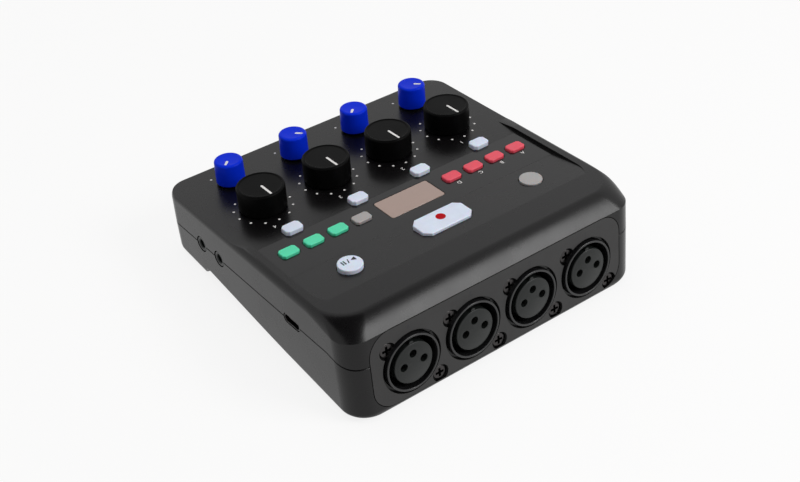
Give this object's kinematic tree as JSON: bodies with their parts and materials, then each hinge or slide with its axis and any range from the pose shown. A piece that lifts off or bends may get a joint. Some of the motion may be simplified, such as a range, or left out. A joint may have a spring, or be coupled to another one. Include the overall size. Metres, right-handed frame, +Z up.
{
  "type": "podcast mixer",
  "caption": "Compact tabletop podcast mixer with level and headphone knobs, pad keys, a display and microphone sockets on its rear face.",
  "frame": {"origin": "on the floor, under the centre of the whole mixer's box", "axes": "+X to the user's right, +Y from the user towards the microphone sockets, +Z up; the deck is tipped 5.5 degrees towards the user, so the knobs' and keys' axes lean with it"},
  "size_m": [0.128, 0.1225, 0.0398],
  "materials": {
    "case_plastic": "fine spark-eroded grey-black moulding, satin",
    "panel_plastic": "smooth dark grey sheet, low gloss",
    "plate_metal": "dark grey fine powder coat",
    "knob_black": "black soft-touch, satin",
    "knob_blue": "blue, satin",
    "shaft_metal": "turned, bare",
    "key_white": "translucent white, matt",
    "key_green": "translucent green, matt",
    "key_grey": "warm grey, matt",
    "key_red": "translucent coral red, matt",
    "socket_black": "black, satin",
    "board_green": "coated circuit board",
    "rubber": "black, matt",
    "screen_glass": "clear window over an unlit display"
  },
  "bodies": {
    "housing": {"top_case": "case_plastic", "bottom_case": "case_plastic", "rear_plate": "plate_metal", "control_panel": "panel_plastic", "display_window": "screen_glass", "display_module": "board_green", "main_board": "board_green", "xlr_shell_1": "plate_metal", "xlr_shell_2": "plate_metal", "xlr_shell_3": "plate_metal", "xlr_shell_4": "plate_metal", "xlr_insert_1": "socket_black", "xlr_insert_2": "socket_black", "xlr_insert_3": "socket_black", "xlr_insert_4": "socket_black", "side_jack_1": "socket_black", "side_jack_2": "socket_black", "headphone_jack_1": "socket_black", "headphone_jack_2": "socket_black", "headphone_jack_3": "socket_black", "headphone_jack_4": "socket_black", "usb_port": "shaft_metal", "card_socket": "shaft_metal", "battery_holder": "case_plastic", "foot_1": "rubber", "foot_2": "rubber", "foot_3": "rubber", "foot_4": "rubber"},
    "level_control_1": {"level_knob_1": "knob_black", "level_shaft_1": "shaft_metal"},
    "level_control_2": {"level_knob_2": "knob_black", "level_shaft_2": "shaft_metal"},
    "level_control_3": {"level_knob_3": "knob_black", "level_shaft_3": "shaft_metal"},
    "level_control_4": {"level_knob_4": "knob_black", "level_shaft_4": "shaft_metal"},
    "phones_control_1": {"phones_knob_1": "knob_blue", "phones_shaft_1": "shaft_metal"},
    "phones_control_2": {"phones_knob_2": "knob_blue", "phones_shaft_2": "shaft_metal"},
    "phones_control_3": {"phones_knob_3": "knob_blue", "phones_shaft_3": "shaft_metal"},
    "phones_control_4": {"phones_knob_4": "knob_blue", "phones_shaft_4": "shaft_metal"},
    "mute_button_1_key": {"mute_button_1": "key_white"},
    "mute_button_2_key": {"mute_button_2": "key_white"},
    "mute_button_3_key": {"mute_button_3": "key_white"},
    "mute_button_4_key": {"mute_button_4": "key_white"},
    "pad_button_1_key": {"pad_button_1": "key_red"},
    "pad_button_2_key": {"pad_button_2": "key_red"},
    "pad_button_3_key": {"pad_button_3": "key_red"},
    "pad_button_4_key": {"pad_button_4": "key_red"},
    "function_button_1_key": {"function_button_1": "key_green"},
    "function_button_2_key": {"function_button_2": "key_green"},
    "function_button_3_key": {"function_button_3": "key_green"},
    "menu_button_key": {"menu_button": "key_grey"},
    "record_button_key": {"record_button": "key_white"},
    "play_button_key": {"play_button": "key_white"},
    "power_button_key": {"power_button": "key_grey"},
    "battery_cover": {"battery_door": "case_plastic"}
  },
  "joints": [
    {"name": "level_1_turn", "type": "hinge", "parent": "housing", "child": "level_control_1", "pos_m": [-0.04253, -0.02561, 0.02954], "axis": [0, -0.0958, 0.9954], "range_deg": [-140, 140]},
    {"name": "level_2_turn", "type": "hinge", "parent": "housing", "child": "level_control_2", "pos_m": [-0.01418, -0.02561, 0.02954], "axis": [0, -0.0958, 0.9954], "range_deg": [-140, 140]},
    {"name": "level_3_turn", "type": "hinge", "parent": "housing", "child": "level_control_3", "pos_m": [0.01418, -0.02561, 0.02954], "axis": [0, -0.0958, 0.9954], "range_deg": [-140, 140]},
    {"name": "level_4_turn", "type": "hinge", "parent": "housing", "child": "level_control_4", "pos_m": [0.04253, -0.02561, 0.02954], "axis": [0, -0.0958, 0.9954], "range_deg": [-140, 140]},
    {"name": "phones_1_turn", "type": "hinge", "parent": "housing", "child": "phones_control_1", "pos_m": [-0.04253, -0.04791, 0.02739], "axis": [0, -0.0958, 0.9954], "range_deg": [-185, 95]},
    {"name": "phones_2_turn", "type": "hinge", "parent": "housing", "child": "phones_control_2", "pos_m": [-0.01418, -0.04791, 0.02739], "axis": [0, -0.0958, 0.9954], "range_deg": [-95, 185]},
    {"name": "phones_3_turn", "type": "hinge", "parent": "housing", "child": "phones_control_3", "pos_m": [0.01418, -0.04791, 0.02739], "axis": [0, -0.0958, 0.9954], "range_deg": [-185, 95]},
    {"name": "phones_4_turn", "type": "hinge", "parent": "housing", "child": "phones_control_4", "pos_m": [0.04253, -0.04791, 0.02739], "axis": [0, -0.0958, 0.9954], "range_deg": [-95, 185]},
    {"name": "mute_button_1_press", "type": "slide", "parent": "housing", "child": "mute_button_1_key", "axis": [0, 0.0958, -0.9954], "range_m": [0, 0.0008], "stiffness_N_per_m": 400, "springref_m": -0.001},
    {"name": "mute_button_2_press", "type": "slide", "parent": "housing", "child": "mute_button_2_key", "axis": [0, 0.0958, -0.9954], "range_m": [0, 0.0008], "stiffness_N_per_m": 400, "springref_m": -0.001},
    {"name": "mute_button_3_press", "type": "slide", "parent": "housing", "child": "mute_button_3_key", "axis": [0, 0.0958, -0.9954], "range_m": [0, 0.0008], "stiffness_N_per_m": 400, "springref_m": -0.001},
    {"name": "mute_button_4_press", "type": "slide", "parent": "housing", "child": "mute_button_4_key", "axis": [0, 0.0958, -0.9954], "range_m": [0, 0.0008], "stiffness_N_per_m": 400, "springref_m": -0.001},
    {"name": "pad_button_1_press", "type": "slide", "parent": "housing", "child": "pad_button_1_key", "axis": [0, 0.0958, -0.9954], "range_m": [0, 0.0008], "stiffness_N_per_m": 400, "springref_m": -0.001},
    {"name": "pad_button_2_press", "type": "slide", "parent": "housing", "child": "pad_button_2_key", "axis": [0, 0.0958, -0.9954], "range_m": [0, 0.0008], "stiffness_N_per_m": 400, "springref_m": -0.001},
    {"name": "pad_button_3_press", "type": "slide", "parent": "housing", "child": "pad_button_3_key", "axis": [0, 0.0958, -0.9954], "range_m": [0, 0.0008], "stiffness_N_per_m": 400, "springref_m": -0.001},
    {"name": "pad_button_4_press", "type": "slide", "parent": "housing", "child": "pad_button_4_key", "axis": [0, 0.0958, -0.9954], "range_m": [0, 0.0008], "stiffness_N_per_m": 400, "springref_m": -0.001},
    {"name": "function_button_1_press", "type": "slide", "parent": "housing", "child": "function_button_1_key", "axis": [0, 0.0958, -0.9954], "range_m": [0, 0.0008], "stiffness_N_per_m": 400, "springref_m": -0.001},
    {"name": "function_button_2_press", "type": "slide", "parent": "housing", "child": "function_button_2_key", "axis": [0, 0.0958, -0.9954], "range_m": [0, 0.0008], "stiffness_N_per_m": 400, "springref_m": -0.001},
    {"name": "function_button_3_press", "type": "slide", "parent": "housing", "child": "function_button_3_key", "axis": [0, 0.0958, -0.9954], "range_m": [0, 0.0008], "stiffness_N_per_m": 400, "springref_m": -0.001},
    {"name": "menu_button_press", "type": "slide", "parent": "housing", "child": "menu_button_key", "axis": [0, 0.0958, -0.9954], "range_m": [0, 0.0008], "stiffness_N_per_m": 400, "springref_m": -0.001},
    {"name": "record_button_press", "type": "slide", "parent": "housing", "child": "record_button_key", "axis": [0, 0.0958, -0.9954], "range_m": [0, 0.0008], "stiffness_N_per_m": 400, "springref_m": -0.001},
    {"name": "play_button_press", "type": "slide", "parent": "housing", "child": "play_button_key", "axis": [0, 0.0958, -0.9954], "range_m": [0, 0.0008], "stiffness_N_per_m": 400, "springref_m": -0.001},
    {"name": "power_button_press", "type": "slide", "parent": "housing", "child": "power_button_key", "axis": [0, 0.0958, -0.9954], "range_m": [0, 0.0008], "stiffness_N_per_m": 400, "springref_m": -0.001},
    {"name": "battery_door_swing", "type": "hinge", "parent": "housing", "child": "battery_cover", "pos_m": [0, -0.00398, 0.00623], "axis": [-1, 0, 0], "range_deg": [0, 95]}
  ]
}
